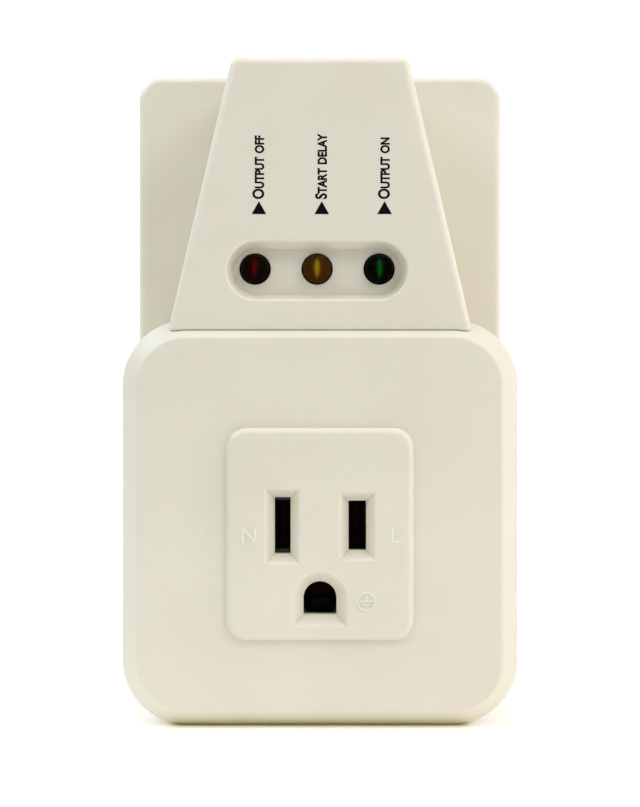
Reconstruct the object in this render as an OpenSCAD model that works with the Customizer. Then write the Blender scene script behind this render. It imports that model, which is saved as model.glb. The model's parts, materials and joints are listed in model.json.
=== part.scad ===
// Plug-through voltage protector: an outlet block below, a display tower above, and a plug at the back.
// The origin is the middle of the bottom face. X is to the right, the front faces -Y and Z is up.

/* [Case] */
// Width of the whole case
case_w = 68; // [64:0.5:80]
// Depth of the case, without the receptacle face and the plug
case_depth = 40; // [37:0.5:50]
// Height of the outlet block at the bottom
block_h = 69.5; // [62:0.5:78]
// Height of the shoulder above the outlet block
shoulder_h = 47; // [44:0.5:56]
// Corner radius of the outlet block
block_corner_r = 11.1; // [8:0.1:13]
// Width of the bevel round the outlet block's front
bevel_w = 3.1; // [2:0.1:4.5]
// Depth of that bevel
bevel_depth = 3.5; // [2:0.1:4]
// Radius that softens both edges of the bevel
bevel_edge_r = 0.8; // [0.3:0.1:0.9]
// Corner radius at the top of the case
top_corner_r = 4.5; // [3.8:0.1:6]
// Depth of the shoulder and the rear shell together
shoulder_depth = 17; // [16:0.5:19]
// Radius of the shoulder's edge
shoulder_edge_r = 1.3; // [0.4:0.1:1.3]
// Depth of the rear shell
rear_depth = 13; // [12:0.5:13.5]
// Radius of the edge round the back
back_edge_r = 1.5; // [0.5:0.1:2]
// Wall of the outlet cover and the rear shell
wall = 2.4; // [2:0.1:3]
// Wall of the shoulder
shoulder_wall = 2.2; // [1.6:0.1:2.6]
// Gap left between neighbouring covers
cover_gap = 0.2; // [0.1:0.05:0.4]

/* [Tower] */
// Distance of the tower's top below the top of the case
tower_drop = 2.1; // [1.5:0.1:4]
// Width of the tower at its top
tower_top_w = 30.3; // [28:0.1:32]
// Width of the shoulder beside the tower's foot
shoulder_w = 8.4; // [7:0.1:9.5]
// Distance of the tower's face behind the block's face
tower_setback = 1.3; // [0.9:0.1:1.8]
// Radius of the tower's front edges
tower_edge_r = 1.4; // [0.4:0.1:1.5]
// Radius of the tower's top corners
tower_corner_r = 1.6; // [1.5:0.1:2.2]
// Wall of the tower
tower_wall = 2; // [1.5:0.1:2.5]

/* [Indicators] */
// Length of the recess round the indicator lamps
recess_w = 30.9; // [28:0.1:33]
// Height of that recess
recess_h = 10; // [9:0.1:12]
// Depth of that recess
recess_depth = 2.9; // [2.6:0.1:4]
// Width of the recess's sloping side
recess_slope_w = 1.05; // [0.5:0.05:1.2]
// Radius of the recess's rim
recess_rim_r = 0.6; // [0.3:0.1:0.8]
// Height of the recess's centre above the outlet block
recess_rise = 8.4; // [7.9:0.1:12]
// Distance of the recess to the right of the tower's middle
recess_x = -0.5; // [-1:0.1:1]
// Height of the lamps above the recess's centre
lamp_rise = 0.5; // [0:0.1:0.6]
// Thickness of the recess's own floor and wall
recess_wall = 1.6; // [1.2:0.1:2]
// Distance between neighbouring lamps
lamp_pitch = 10.7; // [9:0.1:11.5]
// Diameter of a lamp
lamp_d = 5; // [3:0.1:5.2]
// Length of a lamp from its collar to its tip
lamp_length = 7.6; // [6:0.1:9]
// Distance of a lamp's tip behind the tower's face
lamp_sunk = 0.6; // [0:0.1:1.5]
// Gap round a lamp in the recess's floor
lamp_gap = 0.22; // [0.1:0.02:0.3]

/* [Receptacle face] */
// Width of the raised face
face_w = 31.7; // [31:0.1:36]
// Height of the raised face
face_h = 35.9; // [35:0.1:38]
// Distance of the raised face's middle below the middle of the block
face_drop = 1.6; // [0:0.1:2.5]
// Rise of the face above the block's front
face_rise = 1.3; // [0.6:0.1:1.8]
// Corner radius of the raised face
face_corner_r = 3.4; // [2:0.1:4]

/* [Outlet] */
// Distance between the two blade slots
blade_pitch = 12.7; // [11.9:0.1:13.4]
// Height of the blade slots' centres above the raised face's middle
blade_rise = 1.35; // [0.5:0.05:2.5]
// Distance of the earth hole below the blade slots
earth_drop = 11.9; // [11.2:0.1:12.4]
// Width of the neutral slot
neutral_slot_w = 2.7; // [2.2:0.1:3.2]
// Height of the neutral slot
neutral_slot_h = 9.6; // [8.2:0.1:10.2]
// Width of the line slot
line_slot_w = 3; // [2.2:0.1:3.4]
// Height of the line slot
line_slot_h = 8.4; // [7:0.1:9.4]
// Width of the sloping lead-in round each slot
pocket_margin = 1.5; // [0.8:0.1:1.8]
// Depth of that lead-in
pocket_depth = 2.2; // [1:0.1:2.8]
// Width of the earth hole
earth_hole_w = 5.6; // [5:0.1:5.9]
// Distance of the earth hole's middle below the pin that it takes
earth_hole_drop = 0.4; // [0:0.05:0.4]
// Width of the sloping lead-in round the earth hole
earth_margin = 1.8; // [0.8:0.1:2.2]
// Radius that softens the rims of the lead-ins
pocket_rim_r = 0.6; // [0.3:0.1:0.8]

/* [Plug] */
// Thickness of the blades
blade_t = 1.5; // [1.3:0.05:1.7]
// Width of the line blade
line_blade_w = 6.35; // [6:0.05:6.7]
// Width of the neutral blade
neutral_blade_w = 7.9; // [7.5:0.05:8.2]
// Length of the blades behind the back
blade_length = 17.5; // [15:0.5:19]
// Diameter of the hole in each blade
blade_hole_d = 3.5; // [2.5:0.1:3.8]
// Diameter of the earth pin
earth_pin_d = 4.76; // [4.5:0.02:4.9]
// Length of the earth pin behind the back
earth_pin_length = 20.9; // [19.5:0.1:22]
// Thickness of the plate that clamps the blades
clamp_t = 2.6; // [2:0.1:3]

/* [Contacts] */
// Depth of the socket base behind the block's front wall
socket_base_depth = 11; // [10:0.1:11.2]
// Thickness of the sprung contact strip
contact_t = 0.5; // [0.3:0.05:0.6]
// Width of the flat contacts
contact_w = 6.5; // [5:0.1:7]
// Thickness of the copper straps
strap_t = 0.8; // [0.5:0.1:1]
// Width of the copper straps
strap_w = 3.6; // [2.5:0.1:4]

/* [Circuit board] */
// Thickness of both boards
board_t = 1.6; // [1:0.1:2]
// Height of the posts under the main board
board_standoff = 5; // [4:0.1:5.2]
// Gap between the main board's edges and what is beside them
board_edge_gap = 0.95; // [0.6:0.05:1.4]
// Gap between the main board's top and the case
board_top_gap = 2; // [1.5:0.1:4]

/* [Relay] */
// Gap above and below the relay
relay_gap = 0.5; // [0.3:0.1:0.8]
// Height of the relay above the board
relay_h = 16.5; // [16.2:0.1:16.6]
// Wall of the relay's cover
relay_wall = 0.8; // [0.6:0.1:0.9]
// Gap between the armature at rest and the core
armature_gap = 0.5; // [0.45:0.05:0.6]

/* [Fixings] */
// Diameter of the case screws
case_screw_d = 2.9; // [2.5:0.1:3.1]
// Length of the case screws below the head
case_screw_length = 9; // [8:0.1:9.4]
// Diameter of the posts that take the case screws
case_post_d = 6.4; // [6:0.1:6.6]
// Diameter of the small screws inside
small_screw_d = 2.4; // [2:0.1:2.6]
// Gap round a screw or a pressed pin
screw_clearance = 0.05; // [0.02:0.01:0.1]
// Gap round a piece that is dropped into its seat
seat_clearance = 0.1; // [0.05:0.01:0.15]

/* [Hidden] */
$fn = 64;

// Cuts run past their faces by this much
overrun = case_w / 100;
// Number of straight steps in a small rounded edge
arc_steps = 5;
// Number of straight steps round each corner of the tower
corner_steps = 8;

// Depths along Y
front_y = -case_depth / 2;
back_y = case_depth / 2;
shoulder_y = back_y - shoulder_depth;
parting_y = back_y - rear_depth;
block_inner_y = front_y + wall;
tower_y = front_y + tower_setback;
tower_inner_y = tower_y + tower_wall;
shoulder_inner_y = shoulder_y + shoulder_wall;
back_inner_y = back_y - wall;
board_back_y = back_inner_y - board_standoff;
board_y = board_back_y - board_t;

// Heights and widths that follow from the outlet block and the case
case_h = block_h + shoulder_h;
tower_h = case_h - tower_drop;
tower_foot_w = case_w - 2 * shoulder_w;
recess_z = block_h + recess_rise;
lamp_z = recess_z + lamp_rise;
face_z = (block_h - face_h) / 2 - face_drop;
blade_z = face_z + face_h / 2 + blade_rise;

// Joint between the covers and the rear shell
lip_h = 0.6 * wall;
lip_t = 0.4 * wall;
// Height of the ears that close the case beside the block's round corners
ear_z = block_h - 0.42 * block_corner_r;

// Case screws, their heads sunk in the back
case_head_d = 1.9 * case_screw_d;
case_head_h = 0.7 * case_screw_d;
case_seat_y = back_y - 2.2 * wall;
case_post_end_y = case_seat_y - 0.7 * wall;
post_inset_x = wall + lip_t + 2 * cover_gap + case_post_d / 2;
case_post_x = case_w / 2 - post_inset_x;
foot_post_inset = block_corner_r - (block_corner_r - wall - lip_t - 2 * cover_gap - case_post_d / 2) * 0.7;
foot_posts = [case_w / 2 - foot_post_inset, foot_post_inset];
middle_posts = [case_post_x, block_h - 1.12 * block_corner_r];
top_posts = [case_post_x, case_h - post_inset_x];

// Small screws
small_head_d = 1.9 * small_screw_d;
small_head_h = 0.65 * small_screw_d;
small_post_d = 2.2 * small_screw_d;

// Tower: its sides lean in by this much for each unit of height
tower_lean = (tower_foot_w - tower_top_w) / 2 / (tower_h - block_h);

// Hooks that hold the upper cover's foot in the block's top
hook_w = 2.5 * wall;
hook_t = 0.65 * wall;
hook_x = 0.33 * tower_foot_w;
hook_y = shoulder_y - wall;

// Outlet
slot_x = blade_pitch / 2;
earth_z = blade_z - earth_drop;
earth_hole_z = earth_z - earth_hole_drop;
face_y = front_y - face_rise;

// Socket base and its screws
socket_base_y = block_inner_y + seat_clearance;
socket_base_back_y = socket_base_y + socket_base_depth;
socket_base_w = 2.2 * blade_pitch;
socket_base_z = face_z + 0.04 * face_h;
socket_base_h = 0.94 * face_h;
socket_ear_t = 0.28 * socket_base_depth;
socket_screw_x = socket_base_w / 2 + 0.7 * small_post_d;
well_depth = 0.8 * socket_base_depth;
well_w = 0.42 * blade_pitch;
well_h = contact_w + 4 * contact_t;
earth_well_d = 1.6 * earth_pin_d;
tail_w = 0.6 * contact_w;
tail_end_y = socket_base_back_y + strap_w;

// Blades inside the case
shoulder_t = 0.6 * wall;
clamp_back_y = back_inner_y - shoulder_t - 2 * seat_clearance;
clamp_y = clamp_back_y - clamp_t;
clamp_w = 2.7 * blade_pitch;
clamp_h = earth_drop + 1.5 * blade_pitch;
clamp_z = blade_z - earth_drop / 2;
clamp_screw_x = clamp_w / 2 - small_post_d / 2;
blade_tail_y = clamp_y - strap_w;
earth_collar_d = 1.7 * earth_pin_d;
earth_root_d = 1.12 * earth_pin_d;

// Main board: wide above the block's corners, narrow between the posts below them
board_w = case_w - 2 * (wall + lip_t + cover_gap + board_edge_gap);
board_tail_w = 2 * (case_post_x - case_post_d / 2 - 3 * board_edge_gap);
board_z = clamp_z + clamp_h / 2 + board_edge_gap;
board_top_z = case_h - wall - lip_t - board_top_gap;
board_step_z = block_h - 0.15 * block_corner_r;
board_mid_z = (board_top_z + board_step_z) / 2;
board_span = board_top_z - board_step_z;
board_screw_x = board_w / 2 - small_post_d / 2 - overrun;
board_screw_z_shares = [-0.32, 0.28];

// Straps from the line blade to the board and from the board to the line contact
line_in_hole = [slot_x + blade_t / 2 + strap_t / 2, board_z + 1.05 * strap_w];
line_out_hole = [slot_x - contact_t / 2 - strap_t / 2, board_z + 0.5 * strap_w];

// Relay, which fills the room between the strap's tongue and the block's top
relay_breadth = block_h - wall - (line_in_hole.y + strap_w / 2) - 2 * relay_gap;
relay_w = 1.24 * relay_breadth;
relay_z = block_h - wall - relay_gap - relay_breadth / 2;
relay_top_y = board_y - relay_h;
relay_base_t = 0.08 * relay_h;
relay_base_y = board_y - relay_base_t;
yoke_t = 0.06 * relay_w;
yoke_w = 0.58 * relay_breadth;
yoke_x = -relay_w / 2 + relay_wall + 2 * seat_clearance;
core_x = -0.1 * relay_w;
core_r = 0.12 * relay_breadth;
yoke_foot_y = relay_base_y - yoke_t;
core_face_y = relay_top_y + 0.27 * relay_h;
armature_t = 0.06 * relay_h;
armature_y = core_face_y - armature_gap - armature_t;
hinge_x = yoke_x + yoke_t / 2;
hinge_y = core_face_y - armature_gap;
armature_end_x = 0.18 * relay_w;
spring_t = 0.02 * relay_h;
contact_x = 0.34 * relay_w;
contact_r = 0.055 * relay_w;
contact_head = 0.03 * relay_h;
pivot_r = 0.25 * yoke_t;
armature_travel = asin(0.95 * armature_gap / (core_x + core_r - hinge_x));
contact_swing = (contact_x + contact_r - hinge_x) * sin(armature_travel);
coil_r = 0.31 * relay_breadth;
bobbin_r = 0.345 * relay_breadth;
bobbin_wall = 0.035 * relay_breadth;
bobbin_end = 0.05 * relay_h;

// Lamps and their board
lamp_places_share = [-1, 0, 1];
recess_floor_y = tower_y + recess_depth;
lamp_collar_y = tower_y + lamp_sunk + lamp_length;
lamp_collar_h = 0.2 * lamp_d;
lamp_collar_d = 1.16 * lamp_d;
indicator_y = lamp_collar_y + lamp_collar_h;
indicator_back_y = indicator_y + board_t;
indicator_z0 = recess_z - 0.55 * recess_h;
indicator_z1 = recess_z + 1.3 * recess_h;
indicator_w = tower_top_w + 2 * (tower_lean * (tower_h - indicator_z1) - 1.4 * tower_wall);
indicator_screw_x = 0.36 * indicator_w;
indicator_screw_z = indicator_z1 - small_post_d / 2;
lead_t = 0.1 * lamp_d;
lead_x = 0.25 * lamp_d;
wire_places_share = [-1.5, -0.5, 0.5, 1.5];
wire_pitch = 0.3 * lamp_pitch;
wire_r = 0.1 * lamp_d;
wire_z = recess_z + 0.85 * recess_h;

// Parts on the main board, in steps of its grid; their places are shares of its upper part
grid = min(board_w / 23.2, board_span / 17);
fuse_d = 2.05 * grid;
fuse_length = 7.9 * grid;
fuse_z = board_step_z + 0.17 * board_span;
fuse_y = board_y - 0.72 * fuse_d;
filter_d = 3.15 * grid;
filter_h = 0.6 * (board_y - indicator_back_y);
filter_x = 0.17 * board_w;
filter_z = board_step_z + 0.35 * board_span;
film_size = [7.1, 5.1, 2.95] * grid;
film_z = board_step_z + 0.66 * board_span;
disc_d = 4.7 * grid;
disc_t = 1.75 * grid;
disc_z = board_step_z + 0.86 * board_span;
chip_size = [2.5, 1.3, 3.85] * grid;
chip_at = [-0.34 * board_w, board_step_z + 0.47 * board_span];
axial_lead_r = 0.14 * grid;
diode_r = 0.53 * grid;
diode_length = 2.05 * grid;
diode_at = [0.33 * board_w, board_step_z + 0.55 * board_span];
resistor_r = 0.47 * grid;
resistor_length = 2.5 * grid;
resistor_at = [-0.31 * board_w, board_step_z + 0.76 * board_span];
axial_pitch = 1.4 * grid;
transistor_d = 1.8 * grid;
transistor_at = [0.34 * board_w, board_step_z + 0.26 * board_span];

cream = "#DEDAC8";
brass = "#C9A44A";
copper = "#B87345";
tin = "#C8C8C4";
board_green = "#2E6B3F";

// General shapes

function unit(v) = v / norm(v);
function heading(v) = atan2(v.y, v.x);
function to_left(v) = [-v.y, v.x];
function wrapped(a) = a - 360 * floor((a + 180) / 360);

// Points of the arc of radius r that rounds the corner b of the path a, b, c
function corner_arc(a, b, c, r) =
    let(to_a = unit(a - b), to_c = unit(c - b), half = acos(to_a * to_c) / 2,
        centre = b + unit(to_a + to_c) * r / sin(half),
        start = heading(b + to_a * r / tan(half) - centre),
        sweep = wrapped(heading(b + to_c * r / tan(half) - centre) - start))
    [for (i = [0:arc_steps]) let(a = start + sweep * i / arc_steps) centre + r * [cos(a), sin(a)]];

// Edge profile with a bevel, for a slab of corner radius r: x runs outward and y towards the front
function bevel_profile(r, depth, w, d, soft) = concat([[0, 0], [r, 0]],
    corner_arc([r, 0], [r, depth - d], [r - w, depth], soft),
    corner_arc([r, depth - d], [r - w, depth], [0, depth], soft), [[0, depth]]);

// Edge profile with a plain rounded edge
function round_profile(r, depth, soft) = concat([[0, 0], [r, 0]],
    corner_arc([r, 0], [r, depth], [0, depth], soft), [[0, depth]]);

// Corner centres of an upright rectangle, counter-clockwise
function corner_centres(w, z0, z1, r) = [[-w / 2 + r, z0 + r], [w / 2 - r, z0 + r],
    [w / 2 - r, z1 - r], [-w / 2 + r, z1 - r]];

// One side of a bent strip
function strip_side(path, d) = [for (i = [0:len(path) - 1])
    let(into = unit(i > 0 ? path[i] - path[i - 1] : path[1] - path[0]),
        out = unit(i < len(path) - 1 ? path[i + 1] - path[i] : into),
        normal = unit(to_left(into) + to_left(out)))
    path[i] + normal * d / (normal * to_left(into))];

function reversed(list) = [for (i = [len(list) - 1:-1:0]) list[i]];

// Strip of thickness t bent along a path
module strip(path, t) {
    polygon(concat(strip_side(path, t / 2), reversed(strip_side(path, -t / 2))));
}

// Slab whose edge profile runs along the sides and turns round the corner centres
module moulded_slab(centres, profile) {
    n = len(centres);
    linear_extrude(max([for (p = profile) p.y])) polygon(centres);
    for (i = [0:n - 1]) {
        here = centres[i];
        next = centres[(i + 1) % n];
        way = heading(next - here);
        turn = wrapped(way - heading(here - centres[(i + n - 1) % n]));
        translate(next) rotate(way - 90) rotate([90, 0, 0])
            linear_extrude(norm(next - here)) polygon(profile);
        translate(here) rotate(way - turn - 90) rotate_extrude(angle = turn) polygon(profile);
    }
}

// Slab whose sides lean: one outline round the corner centres for each point of the edge profile
module leaning_slab(centres, profile) {
    n = len(centres);
    facing = [for (i = [0:n - 1]) heading(centres[(i + 1) % n] - centres[i]) - 90];
    ring = [for (i = [0:n - 1]) let(start = facing[(i + n - 1) % n], turn = wrapped(facing[i] - start))
        for (j = [0:corner_steps]) let(a = start + turn * j / corner_steps) [centres[i], [cos(a), sin(a)]]];
    count = len(ring);
    last = len(profile) - 2;
    polyhedron(
        [for (k = [1:last], q = ring) [each q[0] + profile[k].x * q[1], profile[k].y]],
        concat([[for (j = [0:count - 1]) j]],
            [for (k = [0:last - 2], j = [0:count - 1]) let(here = k * count, next = (j + 1) % count)
                [here + j, here + count + j, here + count + next, here + next]],
            [[for (j = [count - 1:-1:0]) (last - 1) * count + j]]));
}

// Stands a shape's z axis towards the front, with its base at depth y
module facing_front(y) {
    translate([0, y, 0]) rotate([90, 0, 0]) children();
}

// Stands a shape's z axis towards the back, with its base at depth y
module facing_back(y) {
    mirror([0, 1, 0]) facing_front(-y) children();
}

// Runs an outline drawn in X and Z from depth y0 to depth y1
module between(y0, y1) {
    facing_front(y1) linear_extrude(y1 - y0) children();
}

// Runs an outline drawn in X and Y from height z0 to height z1
module upward(z0, z1) {
    translate([0, 0, z0]) linear_extrude(z1 - z0) children();
}

// Runs an outline drawn in Y and Z from x0 to x1
module across(x0, x1) {
    translate([x0, 0, 0]) rotate([90, 0, 90]) linear_extrude(x1 - x0) children();
}

module box(x0, x1, y0, y1, z0, z1) {
    translate([x0, y0, z0]) cube([x1 - x0, y1 - y0, z1 - z0]);
}

// Round rod along Y, at is its place in X and Z
module rod(at, r, y0, y1) {
    facing_front(y1) translate(at) cylinder(r = r, h = y1 - y0);
}

module left_and_right(at) {
    for (side = [-1, 1]) translate([side * at.x, 0, at.y]) children();
}

module rounded_rect(w, z0, z1, r) {
    translate([-w / 2 + r, z0]) square([w - 2 * r, z1 - z0]);
    translate([-w / 2, z0 + r]) square([w, z1 - z0 - 2 * r]);
    for (c = corner_centres(w, z0, z1, r)) translate(c) circle(r);
}

// Pan-head screw with a cross recess: the head stands at z > 0 and the shank below
module screw(d, length, head_d, head_h) {
    difference() {
        rotate_extrude() polygon([[0, -length], [0.25 * d, -length], [d / 2, -length + 0.5 * d], [d / 2, 0],
            [head_d / 2, 0], [head_d / 2, 0.45 * head_h], [0.36 * head_d, 0.85 * head_h],
            [0.22 * head_d, head_h], [0, head_h]]);
        for (a = [0, 90]) rotate(a) translate([-0.3 * head_d, -0.07 * head_d, 0.4 * head_h])
            cube([0.6 * head_d, 0.14 * head_d, head_h]);
    }
}

module case_screw() {
    translate([0, case_seat_y, 0]) rotate([-90, 0, 0])
        screw(case_screw_d, case_screw_length, case_head_d, case_head_h);
}

// Small screw driven from the front, its head on a seat at depth y
module small_screw(at, y, length) {
    translate([at.x, y, at.y]) rotate([90, 0, 0]) screw(small_screw_d, length, small_head_d, small_head_h);
}

// Case

// The outlet block as a solid, grown on every side by a given amount
module block(grow) {
    slope = bevel_w / bevel_depth;
    corner_r = block_corner_r + grow;
    depth = parting_y - front_y + grow;
    drop = corner_r - (block_corner_r - bevel_w + grow * (sqrt(1 + slope * slope) - slope));
    soft = max(bevel_edge_r + grow, bevel_edge_r / 2);
    facing_front(parting_y) moulded_slab(corner_centres(case_w, 0, block_h, block_corner_r),
        bevel_profile(corner_r, depth, drop, drop / slope, soft));
}

// Upper outline of the case with its soft edge, from depth y towards the front
module shoulder_slab(y, depth, grow, soft) {
    facing_front(y) moulded_slab(
        corner_centres(case_w, block_h - 2 * block_corner_r, case_h, top_corner_r),
        round_profile(top_corner_r + grow, depth, soft));
}

// The display tower as a solid that stands on height z0, grown on its other sides by a given amount
module tower(grow, z0) {
    r = max(tower_corner_r + grow, tower_corner_r / 3);
    inset = r - grow;
    side_inset = inset * sqrt(1 + tower_lean * tower_lean);
    top = tower_top_w / 2 + tower_lean * inset - side_inset;
    foot = tower_top_w / 2 + tower_lean * (tower_h - z0 - r) - side_inset;
    facing_front(shoulder_inner_y) leaning_slab(
        [[-foot, z0 + r], [foot, z0 + r], [top, tower_h - inset], [-top, tower_h - inset]],
        round_profile(r, shoulder_inner_y - tower_y + grow, r * tower_edge_r / tower_corner_r));
}

// Edge of a pocket from its mouth to its floor: x runs outward from r1 at depth y1 to r0 at the face y
// and the rim is rounded; the mouth stands out in front of the face
function pocket_edge(r0, r1, y, y1, rim) = concat([[r1, y1]],
    corner_arc([r1, y1], [r0, y], [r0 + 4 * rim, y], rim), [[r0 + rim, y - overrun]]);

function mirrored(list) = [for (p = reversed(list)) [-p.x, p.y]];
function swapped(list) = [for (p = list) [p.y, p.x]];

// Both edges of a pocket as one outline
function pocket_outline(r0, r1, y, y1, rim) =
    let(edge = pocket_edge(r0, r1, y, y1, rim)) concat(edge, mirrored(edge));

// Lamp recess as a solid that narrows with depth
module recess() {
    half = (recess_w - recess_h) / 2;
    r0 = recess_h / 2;
    r1 = r0 - recess_slope_w;
    edge = pocket_edge(r0, r1, 0, recess_depth, recess_rim_r);
    for (side = [-1, 1]) translate([recess_x + side * half, tower_y, recess_z]) rotate([-90, 0, 0])
        rotate_extrude() polygon(concat([[0, -overrun], [0, recess_depth]], edge));
    translate([recess_x, 0, recess_z]) across(-half, half)
        polygon(swapped(pocket_outline(r0, r1, tower_y, recess_floor_y, recess_rim_r)));
}

// Wall round the recess and its floor
module recess_shell() {
    half = (recess_w - recess_h) / 2;
    r = recess_h / 2 + recess_wall;
    between(tower_y + overrun, recess_floor_y + recess_wall) {
        for (side = [-1, 1]) translate([recess_x + side * half, recess_z]) circle(r);
        translate([recess_x - half, recess_z - r]) square([2 * half, 2 * r]);
    }
}

// Lead-in that narrows to a rectangular slot
module slot_lead_in(x, w, h) {
    y1 = face_y + pocket_depth;
    intersection() {
        translate([x, 0, 0]) upward(blade_z - h, blade_z + h)
            polygon(pocket_outline(w / 2 + pocket_margin, w / 2, face_y, y1, pocket_rim_r));
        translate([0, 0, blade_z]) across(x - w - 2 * pocket_margin, x + w + 2 * pocket_margin)
            polygon(swapped(pocket_outline(h / 2 + pocket_margin, h / 2, face_y, y1, pocket_rim_r)));
    }
}

// Outline of the earth hole: round above, square below
module earth_outline() {
    r = earth_hole_w / 2;
    translate([0, earth_hole_z]) circle(r);
    translate([-r, earth_hole_z - r]) square([2 * r, r]);
}

// Lead-in that narrows to the earth hole
module earth_lead_in() {
    r = earth_hole_w / 2;
    y1 = face_y + pocket_depth;
    outline = pocket_outline(r + earth_margin, r, face_y, y1, pocket_rim_r);
    translate([0, 0, earth_hole_z]) rotate([-90, 0, 0]) rotate_extrude() polygon(concat(
        [[0, face_y - overrun], [0, y1]], pocket_edge(r + earth_margin, r, face_y, y1, pocket_rim_r)));
    intersection() {
        upward(earth_hole_z - 2 * r - earth_margin, earth_hole_z) polygon(outline);
        translate([0, 0, earth_hole_z]) across(-3 * r, 3 * r) polygon(swapped(outline));
    }
}

// Post for a case screw, with its blind hole
module case_post(at, y0) {
    left_and_right(at) rod([0, 0], case_post_d / 2, y0, case_post_end_y);
}

module case_post_hole(at) {
    left_and_right(at) rod([0, 0], case_screw_d / 2 + screw_clearance,
        case_seat_y - case_screw_length - overrun, case_post_end_y + overrun);
}

module outlet_cover() {
    color(cream) difference() {
        union() {
            difference() {
                union() {
                    block(0);
                    between(shoulder_y, parting_y)
                        rounded_rect(case_w, block_h - 2 * block_corner_r, ear_z, wall / 4);
                    facing_front(front_y + overrun) moulded_slab(
                        corner_centres(face_w, face_z, face_z + face_h, face_corner_r),
                        round_profile(face_corner_r, face_rise + overrun, 0.96 * face_rise));
                }
                block(-wall);
                between(parting_y - overrun, parting_y + overrun)
                    rounded_rect(case_w - 2 * wall, wall, block_h - wall, block_corner_r - wall);
            }
            case_post(foot_posts, block_inner_y - overrun);
            case_post(middle_posts, block_inner_y - overrun);
            left_and_right([socket_screw_x, blade_z]) rod([0, 0], small_post_d / 2,
                block_inner_y - overrun, socket_base_back_y - socket_ear_t);
        }
        case_post_hole(foot_posts);
        case_post_hole(middle_posts);
        left_and_right([socket_screw_x, blade_z]) rod([0, 0], small_screw_d / 2 + screw_clearance,
            block_inner_y, socket_base_back_y);
        for (side = [-1, 1]) box(side * hook_x - hook_w / 2 - cover_gap, side * hook_x + hook_w / 2 + cover_gap,
            hook_y - cover_gap, hook_y + 2 * hook_t, block_h - wall - overrun, block_h + overrun);
        slot_lead_in(-slot_x, neutral_slot_w, neutral_slot_h);
        slot_lead_in(slot_x, line_slot_w, line_slot_h);
        box(-slot_x - neutral_slot_w / 2, -slot_x + neutral_slot_w / 2, face_y, block_inner_y + overrun,
            blade_z - neutral_slot_h / 2, blade_z + neutral_slot_h / 2);
        box(slot_x - line_slot_w / 2, slot_x + line_slot_w / 2, face_y, block_inner_y + overrun,
            blade_z - line_slot_h / 2, blade_z + line_slot_h / 2);
        earth_lead_in();
        between(face_y, block_inner_y + overrun) earth_outline();
    }
}

// Hook on the upper cover's foot that catches under the block's top wall
module cover_hook(x) {
    z0 = block_h - wall - cover_gap;
    root = block_h + cover_gap + tower_wall;
    across(x - hook_w / 2, x + hook_w / 2) polygon([[hook_y, root], [hook_y, z0 - hook_t],
        [hook_y + 0.7 * hook_t, z0 - hook_t], [hook_y + 1.5 * hook_t, z0 - 0.4 * hook_t],
        [hook_y + 1.5 * hook_t, z0], [hook_y + hook_t, z0], [hook_y + hook_t, root]]);
}

module upper_cover() {
    post_end_y = indicator_y;
    color(cream) difference() {
        union() {
            difference() {
                union() {
                    shoulder_slab(parting_y, parting_y - shoulder_y, 0, shoulder_edge_r);
                    tower(0, block_h - block_corner_r);
                }
                shoulder_slab(parting_y + overrun, parting_y + overrun - shoulder_inner_y, -wall,
                    shoulder_edge_r / 3);
                translate([0, overrun, 0]) tower(-tower_wall, block_h + cover_gap + tower_wall);
                block(cover_gap);
                between(shoulder_y - overrun, parting_y + overrun)
                    translate([-case_w, 0]) square([2 * case_w, ear_z + cover_gap]);
            }
            intersection() {
                recess_shell();
                tower(0, block_h);
            }
            for (side = [-1, 1]) cover_hook(side * hook_x);
            case_post(top_posts, shoulder_inner_y - overrun);
            left_and_right([indicator_screw_x, indicator_screw_z])
                rod([0, 0], small_post_d / 2, tower_inner_y - overrun, post_end_y);
        }
        recess();
        for (i = lamp_places_share) rod([recess_x + i * lamp_pitch, lamp_z], lamp_d / 2 + lamp_gap,
            recess_floor_y - overrun, recess_floor_y + recess_wall + overrun);
        case_post_hole(top_posts);
        left_and_right([indicator_screw_x, indicator_screw_z]) rod([0, 0], small_screw_d / 2 + screw_clearance,
            tower_inner_y, post_end_y + overrun);
    }
}

// Outline of the rear shell, set in from the outside by a given amount
module rear_outline(inset) {
    rounded_rect(case_w - 2 * inset, inset, block_h - inset, block_corner_r - inset);
    rounded_rect(case_w - 2 * inset, block_h - 2 * block_corner_r + inset, case_h - inset,
        max(top_corner_r - inset, wall / 10));
}

// The rear shell as a solid with a soft back edge
module rear_body(y, depth, grow, soft) {
    facing_back(y) moulded_slab(corner_centres(case_w, 0, block_h, block_corner_r),
        round_profile(block_corner_r + grow, depth, soft));
    facing_back(y) moulded_slab(corner_centres(case_w, block_h - 2 * block_corner_r, case_h, top_corner_r),
        round_profile(top_corner_r + grow, depth, soft));
}

// Rib inside the rear shell's rim that reaches into both covers
module rear_lip() {
    inner = wall + cover_gap + lip_t;
    difference() {
        union() {
            between(parting_y - lip_h, parting_y + lip_h) rear_outline(wall + cover_gap);
            between(parting_y, parting_y + lip_h) rear_outline(wall / 2);
        }
        between(parting_y - 2 * lip_h, parting_y + 2 * lip_h) rear_outline(inner);
        box(-case_w, case_w, parting_y - 2 * lip_h, parting_y, middle_posts.y - case_post_d / 2,
            block_h + 2 * wall);
    }
}

// Slot for a blade in the back
module blade_way(x, w) {
    half_t = blade_t / 2 + seat_clearance;
    half_w = w / 2 + seat_clearance;
    box(x - half_t, x + half_t, back_inner_y - overrun, back_y + overrun, blade_z - half_w, blade_z + half_w);
}

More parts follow.
